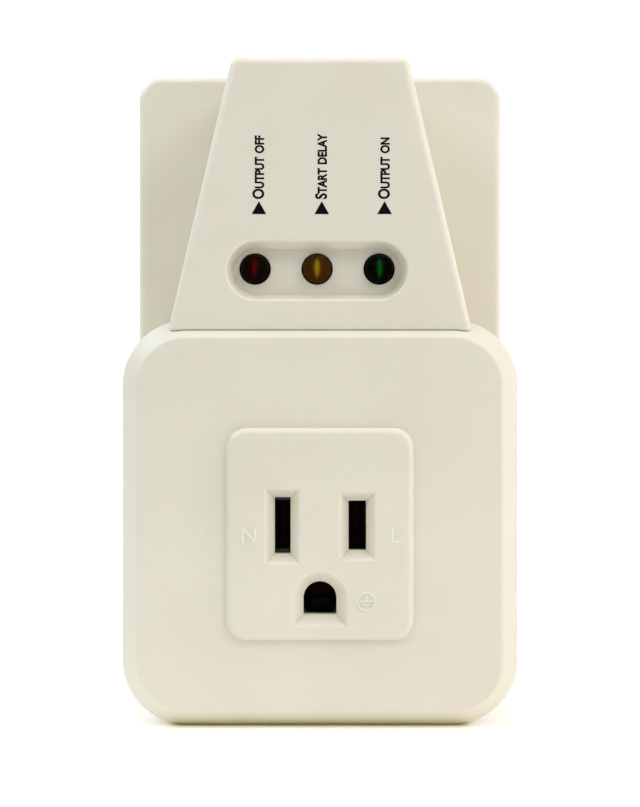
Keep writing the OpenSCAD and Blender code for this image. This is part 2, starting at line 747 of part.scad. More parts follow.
module rear_shell() {
    color(cream) difference() {
        union() {
            difference() {
                rear_body(parting_y, back_y - parting_y, 0, back_edge_r);
                rear_body(parting_y - overrun, back_inner_y - parting_y + overrun, -wall, back_edge_r / 3);
            }
            rear_lip();
            for (at = [foot_posts, middle_posts, top_posts]) left_and_right(at)
                rod([0, 0], case_post_d / 2, case_post_end_y + seat_clearance, back_inner_y + overrun);
            for (z = board_screw_z_shares) left_and_right([board_screw_x, board_mid_z + z * board_span])
                rod([0, 0], small_post_d / 2, board_back_y, back_inner_y + overrun);
            left_and_right([clamp_screw_x, clamp_z])
                rod([0, 0], small_post_d / 2, clamp_back_y, back_inner_y + overrun);
        }
        for (at = [foot_posts, middle_posts, top_posts]) left_and_right(at) {
            rod([0, 0], case_screw_d / 2 + screw_clearance, parting_y, back_y);
            rod([0, 0], case_head_d / 2 + seat_clearance, case_seat_y, back_y + overrun);
        }
        for (z = board_screw_z_shares) left_and_right([board_screw_x, board_mid_z + z * board_span])
            rod([0, 0], small_screw_d / 2 + screw_clearance, board_back_y - overrun, back_inner_y);
        left_and_right([clamp_screw_x, clamp_z])
            rod([0, 0], small_screw_d / 2 + screw_clearance, clamp_back_y - overrun, back_y - wall / 3);
        blade_way(-slot_x, neutral_blade_w);
        blade_way(slot_x, line_blade_w);
        rod([0, earth_z], earth_root_d / 2 + seat_clearance, back_inner_y - overrun, back_y + overrun);
    }
}

module case_screws() {
    color(tin) for (at = [foot_posts, middle_posts, top_posts]) left_and_right(at) case_screw();
}

// Plug

// Flat blade with a pointed tip, a shoulder held in the clamp and a tail for its strap
module blade(x, w) {
    tip = back_y + blade_length;
    taper = 0.35 * w;
    half = w / 2;
    wide = half + blade_t;
    tail = strap_w / 2;
    seat_y = clamp_back_y + seat_clearance;
    stop_y = back_inner_y - seat_clearance;
    side = [[blade_tail_y, tail], [seat_y, tail], [seat_y, wide], [stop_y, wide], [stop_y, half],
        [tip - taper, half], [tip, half - 0.6 * taper]];
    color(brass) difference() {
        translate([0, 0, blade_z]) across(x - blade_t / 2, x + blade_t / 2)
            polygon(concat(side, [for (p = reversed(side)) [p.x, -p.y]]));
        translate([x - blade_t, tip - 0.28 * blade_length, blade_z]) rotate([0, 90, 0])
            cylinder(r = blade_hole_d / 2, h = 2 * blade_t);
    }
}

module neutral_blade() {
    blade(-slot_x, neutral_blade_w);
}

module line_blade() {
    blade(slot_x, line_blade_w);
}

module earth_pin() {
    r = earth_pin_d / 2;
    collar_y = clamp_back_y + seat_clearance;
    collar_end_y = back_inner_y - seat_clearance;
    tip = back_y + earth_pin_length;
    color(brass) {
        translate([0, 0, earth_z]) rotate([-90, 0, 0]) rotate_extrude() polygon(concat(
            [[0, collar_y], [earth_collar_d / 2, collar_y], [earth_collar_d / 2, collar_end_y],
                [earth_root_d / 2, collar_end_y], [earth_root_d / 2, back_y], [r, back_y]],
            corner_arc([r, back_y], [r, tip], [0, tip], 0.8 * r), [[0, tip]]));
        box(-blade_t / 2, blade_t / 2, blade_tail_y, collar_y + overrun / 4,
            earth_z - strap_w / 2, earth_z + strap_w / 2);
    }
}

module blade_clamp() {
    gap = seat_clearance;
    color("#E8E6DE") difference() {
        between(clamp_y, clamp_back_y)
            rounded_rect(clamp_w, clamp_z - clamp_h / 2, clamp_z + clamp_h / 2, small_post_d / 2);
        for (x = [-slot_x, slot_x]) box(x - blade_t / 2 - gap, x + blade_t / 2 + gap, clamp_y - overrun,
            back_y, blade_z - strap_w / 2 - gap, blade_z + strap_w / 2 + gap);
        box(-blade_t / 2 - gap, blade_t / 2 + gap, clamp_y - overrun, back_y,
            earth_z - strap_w / 2 - gap, earth_z + strap_w / 2 + gap);
        left_and_right([clamp_screw_x, clamp_z])
            rod([0, 0], small_screw_d / 2 + seat_clearance, clamp_y - overrun, back_y);
    }
}

module clamp_screws() {
    color(tin) for (side = [-1, 1]) small_screw([side * clamp_screw_x, clamp_z], clamp_y,
        clamp_t + shoulder_t + wall / 3);
}

// Socket

module socket_base() {
    well_y = socket_base_y + well_depth;
    color("#3A3A3C") difference() {
        union() {
            between(socket_base_y, socket_base_back_y) rounded_rect(socket_base_w, socket_base_z,
                socket_base_z + socket_base_h, small_post_d / 2);
            between(socket_base_back_y - socket_ear_t, socket_base_back_y) rounded_rect(
                2 * socket_screw_x + small_head_d, blade_z - small_head_d, blade_z + small_head_d,
                small_post_d / 2);
        }
        for (x = [-slot_x, slot_x]) {
            box(x - well_w / 2, x + well_w / 2, socket_base_y - overrun, well_y,
                blade_z - well_h / 2, blade_z + well_h / 2);
            box(x - contact_t / 2 - seat_clearance, x + contact_t / 2 + seat_clearance, well_y - overrun,
                socket_base_back_y + overrun, blade_z - tail_w / 2 - seat_clearance,
                blade_z + tail_w / 2 + seat_clearance);
        }
        rod([0, earth_z], earth_well_d / 2, socket_base_y - overrun, well_y);
        box(-contact_t / 2 - seat_clearance, contact_t / 2 + seat_clearance, well_y - overrun,
            socket_base_back_y + overrun, earth_z - tail_w / 2 - seat_clearance,
            earth_z + tail_w / 2 + seat_clearance);
        left_and_right([socket_screw_x, blade_z]) rod([0, 0], small_screw_d / 2 + seat_clearance,
            socket_base_y, socket_base_back_y + overrun);
    }
}

module socket_screws() {
    color(tin) for (side = [-1, 1]) translate([side * socket_screw_x, socket_base_back_y, blade_z])
        rotate([-90, 0, 0]) screw(small_screw_d, 2.6 * socket_ear_t, small_head_d, small_head_h);
}

// Two sprung leaves that close on a blade, on a floor with a tail behind it; throat is their free gap
module sprung_contact(x, z, w, mouth, throat) {
    floor_y = socket_base_y + well_depth - seat_clearance - contact_t / 2;
    mouth_y = socket_base_y + 0.24 * well_depth;
    throat_y = socket_base_y + 0.46 * well_depth;
    half = mouth / 2 - contact_t / 2;
    near = (throat + contact_t) / 2;
    color(copper) translate([x, 0, 0]) {
        upward(z - w / 2, z + w / 2) for (side = [-1, 1])
            strip([[side * near * 1.5, mouth_y], [side * near, throat_y],
                [side * half, floor_y - 0.2 * well_depth], [side * half, floor_y], [0, floor_y]], contact_t);
        box(-contact_t / 2, contact_t / 2, floor_y, tail_end_y, z - tail_w / 2, z + tail_w / 2);
    }
}

module neutral_contact() {
    sprung_contact(-slot_x, blade_z, contact_w, well_w - 2 * seat_clearance, 0.8 * blade_t);
}

module line_contact() {
    sprung_contact(slot_x, blade_z, contact_w, well_w - 2 * seat_clearance, 0.8 * blade_t);
}

module earth_contact() {
    sprung_contact(0, earth_z, 0.55 * earth_well_d, 0.78 * earth_well_d, 0.7 * earth_pin_d);
}

// Strap that lies beside a contact's tail and then beside a blade's
module tail_strap(x, z) {
    contact_side_x = x - (contact_t + strap_t) / 2;
    blade_side_x = x - (blade_t + strap_t) / 2;
    color(copper) upward(z - tail_w / 2, z + tail_w / 2) strip([
        [contact_side_x, socket_base_back_y + seat_clearance], [contact_side_x, tail_end_y],
        [blade_side_x, blade_tail_y - seat_clearance], [blade_side_x, clamp_y - seat_clearance]], strap_t);
}

module neutral_strap() {
    tail_strap(-slot_x, blade_z);
}

module earth_strap() {
    tail_strap(0, earth_z);
}

// Flat strap from a tail up to a tongue that passes through the board
module board_strap(hole, y0, y1) {
    z = hole.y;
    half = strap_w / 2;
    color(copper) across(hole.x - strap_t / 2, hole.x + strap_t / 2) polygon([
        [y0, blade_z - half], [y1, blade_z - half], [y1, z - half], [board_y - 2 * seat_clearance, z - half],
        [board_y - 2 * seat_clearance, z - half / 2], [board_back_y + board_t / 2, z - half / 2],
        [board_back_y + board_t / 2, z + half / 2], [board_y - 2 * seat_clearance, z + half / 2],
        [board_y - 2 * seat_clearance, z + half], [y0, z + half]]);
}

module line_in_strap() {
    board_strap(line_in_hole, blade_tail_y, board_y - 2 * seat_clearance);
}

module line_out_strap() {
    board_strap(line_out_hole, socket_base_back_y + seat_clearance, tail_end_y);
}

// Boards

module strap_slot(hole) {
    box(hole.x - strap_t / 2 - seat_clearance, hole.x + strap_t / 2 + seat_clearance, board_y - overrun,
        board_back_y + overrun, hole.y - strap_w / 4 - seat_clearance, hole.y + strap_w / 4 + seat_clearance);
}

module circuit_board() {
    color(board_green) difference() {
        between(board_y, board_back_y) {
            translate([-board_w / 2, board_step_z]) square([board_w, board_top_z - board_step_z]);
            translate([-board_tail_w / 2, board_z]) square([board_tail_w, board_top_z - board_z]);
        }
        left_and_right(top_posts) rod([0, 0], case_post_d / 2 + 4 * seat_clearance, board_y - overrun,
            board_back_y + overrun);
        for (z = board_screw_z_shares) left_and_right([board_screw_x, board_mid_z + z * board_span])
            rod([0, 0], small_screw_d / 2 + seat_clearance, board_y - overrun, board_back_y + overrun);
        strap_slot(line_in_hole);
        strap_slot(line_out_hole);
        for (i = wire_places_share) rod([i * wire_pitch, wire_z], wire_r + screw_clearance,
            board_y - overrun, board_back_y + overrun);
    }
}

module board_screws() {
    color(tin) for (z = board_screw_z_shares, side = [-1, 1])
        small_screw([side * board_screw_x, board_mid_z + z * board_span], board_y,
            board_t + 0.7 * board_standoff);
}

module indicator_board() {
    color(board_green) difference() {
        between(indicator_y, indicator_back_y) translate([-indicator_w / 2, indicator_z0])
            square([indicator_w, indicator_z1 - indicator_z0]);
        left_and_right([indicator_screw_x, indicator_screw_z]) rod([0, 0], small_screw_d / 2 + seat_clearance,
            indicator_y - overrun, indicator_back_y + overrun);
        for (i = lamp_places_share, side = [-1, 1]) rod([recess_x + i * lamp_pitch + side * lead_x, lamp_z],
            lead_t + screw_clearance, indicator_y - overrun, indicator_back_y + overrun);
        for (i = wire_places_share) rod([i * wire_pitch, wire_z], wire_r + screw_clearance,
            indicator_y - overrun, indicator_back_y + overrun);
    }
}

module indicator_screws() {
    color(tin) for (side = [-1, 1]) translate([side * indicator_screw_x, indicator_back_y, indicator_screw_z])
        rotate([-90, 0, 0]) screw(small_screw_d, 2.6 * board_t, small_head_d, small_head_h);
}

// Round lamp with a domed tip and a collar on the board
module lamp(x) {
    r = lamp_d / 2;
    translate([recess_x + x, 0, lamp_z]) {
        rod([0, 0], r, tower_y + lamp_sunk + r, indicator_y);
        translate([0, tower_y + lamp_sunk + r, 0]) sphere(r);
        rod([0, 0], lamp_collar_d / 2, lamp_collar_y, indicator_y);
    }
}

module red_lamp() {
    color("#7A1F1C") lamp(-lamp_pitch);
}

module amber_lamp() {
    color("#A8842C") lamp(0);
}

module green_lamp() {
    color("#1F6B3A") lamp(lamp_pitch);
}

module lamp_leads() {
    color(tin) for (i = lamp_places_share, side = [-1, 1])
        rod([recess_x + i * lamp_pitch + side * lead_x, lamp_z], lead_t, indicator_y,
            indicator_back_y + board_t);
}

module indicator_wires() {
    color("#B03A32") for (i = wire_places_share)
        rod([i * wire_pitch, wire_z], wire_r, indicator_y, board_back_y + board_t / 2);
}

// Relay

module relay_base() {
    color("#24384E") difference() {
        box(-relay_w / 2, relay_w / 2, relay_base_y, board_y, relay_z - relay_breadth / 2,
            relay_z + relay_breadth / 2);
        for (at = relay_pin_places())
            rod(at, 1.4 * lead_t + screw_clearance, relay_base_y - overrun, board_y + overrun);
    }
}

function relay_pin_places() = [[-0.3 * relay_w, relay_z - 0.36 * relay_breadth],
    [-0.3 * relay_w, relay_z + 0.36 * relay_breadth], [0.4 * relay_w, relay_z - 0.3 * relay_breadth],
    [0.4 * relay_w, relay_z + 0.3 * relay_breadth]];

module relay_cover() {
    t = relay_wall;
    gap = screw_clearance;
    color("#2C4A6A") difference() {
        box(-relay_w / 2, relay_w / 2, relay_top_y, relay_base_y - gap, relay_z - relay_breadth / 2,
            relay_z + relay_breadth / 2);
        box(-relay_w / 2 + t, relay_w / 2 - t, relay_top_y + t, relay_base_y + overrun,
            relay_z - relay_breadth / 2 + t, relay_z + relay_breadth / 2 - t);
    }
}

module relay_yoke() {
    half = yoke_w / 2;
    breadthwise = half + overrun;
    color("#9A9CA0") difference() {
        union() {
            box(yoke_x, yoke_x + yoke_t, hinge_y + seat_clearance, relay_base_y,
                relay_z - half, relay_z + half);
            box(yoke_x, core_x + coil_r, yoke_foot_y, relay_base_y, relay_z - half, relay_z + half);
        }
        rod([core_x, relay_z], core_r / 2 + screw_clearance, yoke_foot_y - overrun, relay_base_y + overrun);
        upward(relay_z - breadthwise, relay_z + breadthwise) translate([hinge_x, hinge_y])
            circle(pivot_r + screw_clearance);
    }
}

module relay_core() {
    color("#B4B6BA") {
        rod([core_x, relay_z], core_r, core_face_y, yoke_foot_y);
        rod([core_x, relay_z], core_r / 2, core_face_y, relay_base_y);
    }
}

module relay_bobbin() {
    y0 = core_face_y + bobbin_end / 2;
    color("#E9E4D4") difference() {
        union() {
            rod([core_x, relay_z], core_r + screw_clearance + bobbin_wall, y0, yoke_foot_y);
            rod([core_x, relay_z], bobbin_r, y0, y0 + bobbin_end);
            rod([core_x, relay_z], bobbin_r, yoke_foot_y - bobbin_end, yoke_foot_y);
        }
        rod([core_x, relay_z], core_r + screw_clearance, y0 - overrun, yoke_foot_y + overrun);
    }
}

module relay_coil() {
    y0 = core_face_y + 1.5 * bobbin_end + screw_clearance;
    y1 = yoke_foot_y - bobbin_end - screw_clearance;
    color(copper) difference() {
        rod([core_x, relay_z], coil_r, y0, y1);
        rod([core_x, relay_z], core_r + 2 * screw_clearance + bobbin_wall, y0 - overrun, y1 + overrun);
    }
}

// Flat armature with a round bead that rocks in the yoke's groove
module relay_armature() {
    half = yoke_w / 2;
    color("#8C8E92") upward(relay_z - half, relay_z + half) {
        translate([yoke_x, armature_y]) square([armature_end_x - yoke_x, armature_t]);
        translate([hinge_x, hinge_y]) circle(pivot_r);
    }
}

module relay_moving_contact() {
    half = 0.3 * yoke_w;
    color(brass) {
        box(core_x, contact_x + 1.4 * contact_r, armature_y - spring_t, armature_y,
            relay_z - half, relay_z + half);
        rod([contact_x, relay_z], contact_r, armature_y - spring_t - contact_head, armature_y + contact_head);
    }
}

// Fixed contact: a post from the base, an arm across the swing and a contact button on the arm
module fixed_contact(arm_y, button_y0, button_y1, z) {
    post_x = 0.4 * relay_w;
    half = 0.12 * relay_breadth;
    box(post_x - strap_t / 2, post_x + strap_t / 2, min(arm_y, button_y1), relay_base_y, z - half, z + half);
    box(contact_x - contact_r, post_x + strap_t / 2, arm_y, arm_y + strap_t / 2,
        min(z - half, relay_z - half), max(z + half, relay_z + half));
    rod([contact_x, relay_z], contact_r, button_y0, button_y1);
}

module relay_fixed_contacts() {
    rest_gap = screw_clearance;
    open_y = armature_y - spring_t - contact_head - rest_gap;
    make_y = armature_y + contact_head + contact_swing + rest_gap;
    root = overrun / 10;
    places = relay_pin_places();
    color(brass) {
        fixed_contact(open_y - contact_head - strap_t / 2, open_y - contact_head - root, open_y, places[3].y);
        fixed_contact(make_y + contact_head, make_y, make_y + contact_head + root, places[2].y);
    }
}

module relay_pins() {
    color(tin) for (at = relay_pin_places()) rod(at, 1.4 * lead_t, relay_base_y, board_y);
}

// Parts on the main board

module film_capacitor() {
    color("#C8B24A") translate([-film_size.x / 2, board_y - film_size.y, film_z - film_size.z / 2])
        cube(film_size);
}

module filter_capacitors() {
    r = filter_d / 2;
    ring = r / 8;
    color("#232A4A") for (x = [-filter_x, filter_x]) translate([x, board_y, filter_z]) rotate([90, 0, 0])
        rotate_extrude() polygon([[0, 0], [r - ring, 0], [r, ring], [r, 2 * ring], [r - ring / 2, 2.5 * ring],
            [r, 3 * ring], [r, filter_h - ring], [r - ring, filter_h], [r - 1.5 * ring, filter_h],
            [r - 1.5 * ring, filter_h - ring / 2], [0, filter_h - ring / 2]]);
}

// Disc that stands on two leads
module surge_disc() {
    r = disc_d / 2;
    axis_y = board_y - 1.25 * r;
    color("#2D5FA0") {
        translate([0, axis_y, disc_z - disc_t / 2]) cylinder(r = r, h = disc_t);
        for (side = [-1, 1]) rod([side * 0.5 * r, disc_z], 1.4 * axial_lead_r, axis_y, board_y);
    }
}

module fuse() {
    cap = 0.28 * fuse_length;
    color("#D8DADA") translate([0, fuse_y, fuse_z]) rotate([0, 90, 0]) {
        cylinder(r = 0.46 * fuse_d, h = fuse_length, center = true);
        for (side = [-1, 1]) translate([0, 0, side * (fuse_length - cap) / 2])
            cylinder(r = fuse_d / 2, h = cap, center = true);
    }
}

// U-shaped clip under each end of the fuse
module fuse_clips() {
    r = fuse_d / 2 + seat_clearance;
    t = strap_t / 2;
    half = 0.1 * fuse_length;
    color(brass) for (side = [-1, 1]) difference() {
        across(side * 0.4 * fuse_length - half, side * 0.4 * fuse_length + half) {
            translate([fuse_y, fuse_z - r - t]) square([board_y - fuse_y, 2 * (r + t)]);
            translate([fuse_y, fuse_z]) circle(r + t);
        }
        across(-fuse_length, fuse_length) {
            translate([fuse_y, fuse_z]) circle(r);
            translate([fuse_y - 2 * r, fuse_z - 0.7 * r]) square([2 * r, 1.4 * r]);
        }
    }
}

// Small part with a wire at each end, lying above the board
module axial_part(at, r, length) {
    y = board_y - r - seat_clearance;
    bend = 0.75 * length;
    translate([at.x, y, at.y]) {
        cylinder(r = r, h = length, center = true);
        cylinder(r = axial_lead_r, h = 2 * bend, center = true);
    }
    for (side = [-1, 1]) {
        rod([at.x, at.y + side * bend], axial_lead_r, y, board_y);
        translate([at.x, y, at.y + side * bend]) sphere(axial_lead_r);
    }
}

module diodes() {
    color("#2A2A2C") for (i = [-1, 0, 1]) axial_part(diode_at + [i * axial_pitch, 0], diode_r, diode_length);
}

module resistors() {
    color("#B79A6C") for (i = [-1, 0, 1])
        axial_part(resistor_at + [i * axial_pitch, 0], resistor_r, resistor_length);
}

module control_chip() {
    lift = 0.15 * chip_size.y;
    color("#1E1E20") difference() {
        translate([chip_at.x - chip_size.x / 2, board_y - lift - chip_size.y, chip_at.y - chip_size.z / 2])
            cube(chip_size);
        rod([chip_at.x, chip_at.y + chip_size.z / 2], chip_size.x / 8, board_y - lift - chip_size.y - overrun,
            board_y - lift - 0.8 * chip_size.y);
    }
}

module chip_legs() {
    half = chip_size.x / 2;
    t = 0.7 * axial_lead_r;
    lift = 0.5 * chip_size.y;
    color(tin) for (side = [-1, 1], i = [-1.5:1:1.5])
        upward(chip_at.y + i * grid - axial_lead_r, chip_at.y + i * grid + axial_lead_r)
            translate([chip_at.x, 0]) strip([[side * half, board_y - lift],
                [side * (half + 2 * t), board_y - lift], [side * (half + 2 * t), board_y]], t);
}

module transistor() {
    r = transistor_d / 2;
    lift = 0.25 * transistor_d;
    color("#1E1E20") translate([transistor_at.x, 0, transistor_at.y]) {
        difference() {
            rod([0, 0], r, board_y - lift - transistor_d * 0.7, board_y - lift);
            box(-r, r, 0, board_y, -r - overrun, -0.6 * r);
        }
        for (i = [-1, 0, 1]) rod([i * 0.5 * r, 0], 0.7 * axial_lead_r, board_y - lift, board_y);
    }
}

outlet_cover();
upper_cover();
rear_shell();
case_screws();
neutral_blade();
line_blade();
earth_pin();
blade_clamp();
clamp_screws();
socket_base();
socket_screws();
neutral_contact();
line_contact();
earth_contact();
neutral_strap();
line_in_strap();
line_out_strap();
earth_strap();
circuit_board();
board_screws();
indicator_board();
indicator_screws();
red_lamp();
amber_lamp();
green_lamp();
lamp_leads();
indicator_wires();
relay_base();
relay_cover();
relay_yoke();
relay_core();
relay_bobbin();
relay_coil();
relay_armature();
relay_moving_contact();
relay_fixed_contacts();
relay_pins();
film_capacitor();
filter_capacitors();
surge_disc();
fuse();
fuse_clips();
diodes();
resistors();
control_chip();
chip_legs();
transistor();
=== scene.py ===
"""Looks of the plug-through voltage protector, in metres, in the frame of the CAD part."""
import json
import math

import bmesh
import bpy
from mathutils import Matrix, Vector


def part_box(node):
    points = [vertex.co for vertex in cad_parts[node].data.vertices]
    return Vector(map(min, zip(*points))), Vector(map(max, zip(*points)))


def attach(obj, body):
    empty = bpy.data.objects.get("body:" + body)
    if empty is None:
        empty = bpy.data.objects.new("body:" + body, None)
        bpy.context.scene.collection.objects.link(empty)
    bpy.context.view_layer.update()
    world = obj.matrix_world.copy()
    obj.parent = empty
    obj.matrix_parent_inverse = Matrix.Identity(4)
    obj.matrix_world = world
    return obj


MM = 0.001

# Soft lights, fitted to the photograph's tones: name, place, size, power, colour
SOFT_LIGHTS = (
    ("top", (0.0, -0.08, 0.85), (0.7, 0.35), 1.85, (1.0, 0.94, 0.93)),
    ("top_front", (0.0, -0.4, 0.75), (0.7, 0.35), 1.12, (1.0, 0.96, 0.87)),
    ("top_left", (-0.55, -0.05, 0.62), (0.35, 0.35), 2.0, (0.6, 0.82, 1.0)),
    ("top_right", (0.55, -0.05, 0.62), (0.35, 0.35), 0.3, (1.0, 0.96, 0.95)),
    ("front_left", (-0.5, -0.45, 0.55), (0.35, 0.35), 1.3, (0.96, 1.0, 1.0)),
    ("front_right", (0.5, -0.45, 0.55), (0.35, 0.35), 1.9, (0.92, 0.95, 1.0)),
    ("right", (0.6, -0.1, 0.15), (0.25, 0.4), 1.15, (1.0, 0.9, 0.9)),
)
LIGHT_TARGET = (0, 0, 0.06)
WORLD_COLOUR = (0.97, 0.985, 1.0, 1)
WORLD_STRENGTH = 0.2

# White sweep: a floor that turns up into a wall
SWEEP_FRONT = -2.0
SWEEP_BACK = 0.55
SWEEP_RADIUS = 0.25
SWEEP_TOP = 2.2
SWEEP_HALF_WIDTH = 3.0
SWEEP_STEPS = 12

# Floor paper: half sizes of the part's foot, then spans of the distance from that foot
FOOT_HALF = {"X": 24 * MM, "Y": 16.6 * MM}
GLOW_STARTS = (0.5 * MM, 2.5 * MM)
GLOW_FADES = (50 * MM, 120 * MM)
GLOW_NEAR_FOOT = 0.28
# Painted warm shade: round the foot the paper is tinted yellow, for the light the cream part throws
# into its shade
SHADE_FADES = (0.5 * MM, 3.5 * MM)
SHADE_AT_FOOT = 0.6
# Floor paper behind the part: spans in Y over which it glows, turns from warm to white, and darkens
# below its glow, so that it doesn't light the part's back too much
BACK_GLOWS = (0.04, 0.45)
BACK_WHITENS = (0.04, 0.1)
BACK_DARKENS = (0.32, 0.5)

# Camera, from the photograph: it stands square to the block's front, about half way up the part
CAMERA_DISTANCE = 215 * MM
CAMERA_HEIGHT = 55.2 * MM
PHOTO_HEIGHT_PX = 807
FOCAL_PX = 1270.1
SENSOR = 36.0
CLIP_START = 10 * MM

# Lamp lenses: half sizes of the bright ellipse, a painted reflection of the lamp's inner frame, and
# the weight of the width in its narrower core
LENS_HALF_WIDTH = 0.85 * MM
LENS_HALF_HEIGHT = 1.9 * MM
LENS_CORE_WEIGHT = 3.0

# Printed marks on the tower
PRINT_RISE = 0.02 * MM
ARROW_WIDTH = 2.5 * MM
ARROW_HEIGHT = 2.2 * MM
ARROW_Z = 87.45 * MM
LETTER_HEIGHT = 1.88 * MM
LETTER_NARROW = 0.82
LETTER_SMALL = 0.78
LETTER_BOLD = 0.085 * MM
LETTER_Z = 90.0 * MM
LAMP_WORDS = {"red_lamp": "Output off", "amber_lamp": "Start delay", "green_lamp": "Output on"}
PRINT_SHIFT = 0.8 * MM
CAPITAL_SHARE = 0.7  # height of a capital as a share of the font's size

# Nodes with a finish of their own, in place of that of their material slot: the outlet's contacts
# are tarnished and darkened almost to black, a painted shade for the deep slots they sit in, and
# the relay's coil shows its turns
NODE_FINISHES = {"neutral_contact": "contact_tarnish_and_shade", "line_contact": "contact_tarnish_and_shade",
                 "earth_contact": "contact_tarnish_and_shade", "relay_coil": "coil_winding"}

# Raised marks beside the outlet's holes, on a face that stands out from the block
FACE_RISE = 1.3 * MM
MARK_RISE = 0.14 * MM
MARK_BEVEL_SHARE = 0.4
MARK_LETTER = 2.65 * MM
MARK_THIN = -0.04 * MM
MARK_Z = 32.9 * MM
MARK_X = {"N": -11.95 * MM, "L": 12.65 * MM}
EARTH_MARK = (7.82 * MM, 21.9 * MM)
EARTH_MARK_R = 1.62 * MM
EARTH_MARK_LINE = 0.28 * MM
EARTH_BAR_SHARES = (1.0, 0.55, 0.2)


def colour(text):
    """Linear colour of an sRGB value such as "#E4E0D0"."""
    parts = [int(text[i:i + 2], 16) / 255 for i in (1, 3, 5)]
    linear = [c / 12.92 if c <= 0.04045 else ((c + 0.055) / 1.055) ** 2.4 for c in parts]
    return (*linear, 1.0)


class Finish:
    """A procedural material whose nodes are added one by one to a principled shader."""

    def __init__(self, name, base, roughness, **sockets):
        self.material = bpy.data.materials.new(name)
        self.material.use_nodes = True
        self.tree = self.material.node_tree
        self.shader = self.tree.nodes["Principled BSDF"]
        self.shader.inputs["Base Color"].default_value = colour(base)
        self.shader.inputs["Roughness"].default_value = roughness
        for key, value in sockets.items():
            self.shader.inputs[key.replace("_", " ")].default_value = value
        self.place = self.add("ShaderNodeTexCoord").outputs["Object"]
        self.relief = None

    def add(self, kind, links=None, values=None, **settings):
        """Node of a kind, with its linked inputs, the values of other inputs, and its settings."""
        made = self.tree.nodes.new(kind)
        for key, value in settings.items():
            setattr(made, key, value)
        for key, value in (values or {}).items():
            made.inputs[key].default_value = value
        for key, source in (links or {}).items():
            self.tree.links.new(source, made.inputs[key])
        return made

    def math(self, operation, *operands):
        """Result of a math node. Each operand is a socket or a number."""
        made = self.add("ShaderNodeMath", operation=operation)
        for socket, value in zip(made.inputs, operands):
            if isinstance(value, (int, float)):
                socket.default_value = value
            else:
                self.tree.links.new(value, socket)
        return made.outputs[0]

    def noise(self, size, detail=2.0, stretch=(1, 1, 1)):
        """Noise with features of about a given size, drawn out along each axis by its stretch."""
        scaled = self.add("ShaderNodeMapping", {"Vector": self.place},
                          {"Scale": [1 / (size * s) for s in stretch]})
        return self.add("ShaderNodeTexNoise", {"Vector": scaled.outputs[0]},
                        {"Scale": 1.0, "Detail": detail}).outputs["Fac"]

    def ramp(self, source, low, high, out_low=0.0, out_high=1.0):
        """Maps a span of values to another, clamped."""
        spans = {"From Min": low, "From Max": high, "To Min": out_low, "To Max": out_high}
        return self.add("ShaderNodeMapRange", {"Value": source}, spans).outputs[0]

    def tint(self, factor, other, socket="Base Color"):
        """Mixes the shader's colour with another one by a factor."""
        target = self.shader.inputs[socket]
        mix = self.add("ShaderNodeMix", data_type="RGBA")
        if target.is_linked:
            self.tree.links.new(target.links[0].from_socket, mix.inputs["A"])
        else:
            mix.inputs["A"].default_value = target.default_value
        mix.inputs["B"].default_value = colour(other)
        self.tree.links.new(factor, mix.inputs["Factor"])
        self.tree.links.new(mix.outputs["Result"], target)

    def rough(self, factor, low, high):
        """Lets the roughness vary between two values."""
        varied = self.ramp(factor, 0.3, 0.7, low, high)
        self.tree.links.new(varied, self.shader.inputs["Roughness"])

    def bump(self, source, depth):
        """Adds relief of a given depth in metres."""
        made = self.add("ShaderNodeBump", {"Height": source}, {"Strength": 1.0, "Distance": depth})
        if self.relief is not None:
            self.tree.links.new(self.relief, made.inputs["Normal"])
        self.relief = made.outputs["Normal"]
        self.tree.links.new(self.relief, self.shader.inputs["Normal"])


def specks(finish, spacing, radius, share, shade, strength=0.55):
    """Scattered dust specks: one in some of the cells of a cell pattern."""
    cells = finish.add("ShaderNodeTexVoronoi", {"Vector": finish.place}, {"Scale": 1 / spacing})
    near = finish.math("LESS_THAN", cells.outputs["Distance"], radius / spacing)
    chosen = finish.add("ShaderNodeSeparateColor", {"Color": cells.outputs["Color"]})
    some = finish.math("LESS_THAN", chosen.outputs[0], share)
    finish.tint(finish.math("MULTIPLY", finish.math("MULTIPLY", near, some), strength), shade)


def cover_plastic(name="cover_plastic", base="#E4DECD", shade="#DBD4C0", depth=0.12):
    """Cream moulded plastic: a fine eroded grain, faint flow marks and a little dust.

    The roughness stays above 0.28: the denoiser leaves flakes on faces where it crosses that.
    """
    f = Finish(name, base, 0.3, Specular_IOR_Level=0.6, Subsurface_Weight=depth,
               Subsurface_Scale=1.2 * MM, Subsurface_Radius=(1.0, 0.75, 0.45))
    flow_marks = f.noise(22 * MM, 3.0)
    mottle = f.noise(1.1 * MM, 2.0)
    gloss = f.noise(3 * MM, 3.0)
    grain = f.noise(0.16 * MM, 4.0)
    sink_marks = f.noise(9 * MM, 2.0)
    f.tint(f.ramp(flow_marks, 0.35, 0.7, 0.0, 0.5), shade)
    f.tint(f.ramp(mottle, 0.5, 0.8, 0.0, 0.18), shade)
    specks(f, spacing=7 * MM, radius=0.11 * MM, share=0.12, shade="#6E6650")
    f.rough(gloss, 0.29, 0.36)
    f.bump(grain, 0.003 * MM)
    f.bump(sink_marks, 0.02 * MM)
    return f.material


def inner_plastic(name, base, roughness):
    """Plain insulator with a fine grain."""
    f = Finish(name, base, roughness)
    gloss, clouds, grain = f.noise(2 * MM), f.noise(5 * MM), f.noise(0.2 * MM, 3.0)
    f.rough(gloss, roughness - 0.06, roughness + 0.08)
    f.tint(f.ramp(clouds, 0.4, 0.8, 0.0, 0.2), "#808080")
    f.bump(grain, 0.008 * MM)
    return f.material


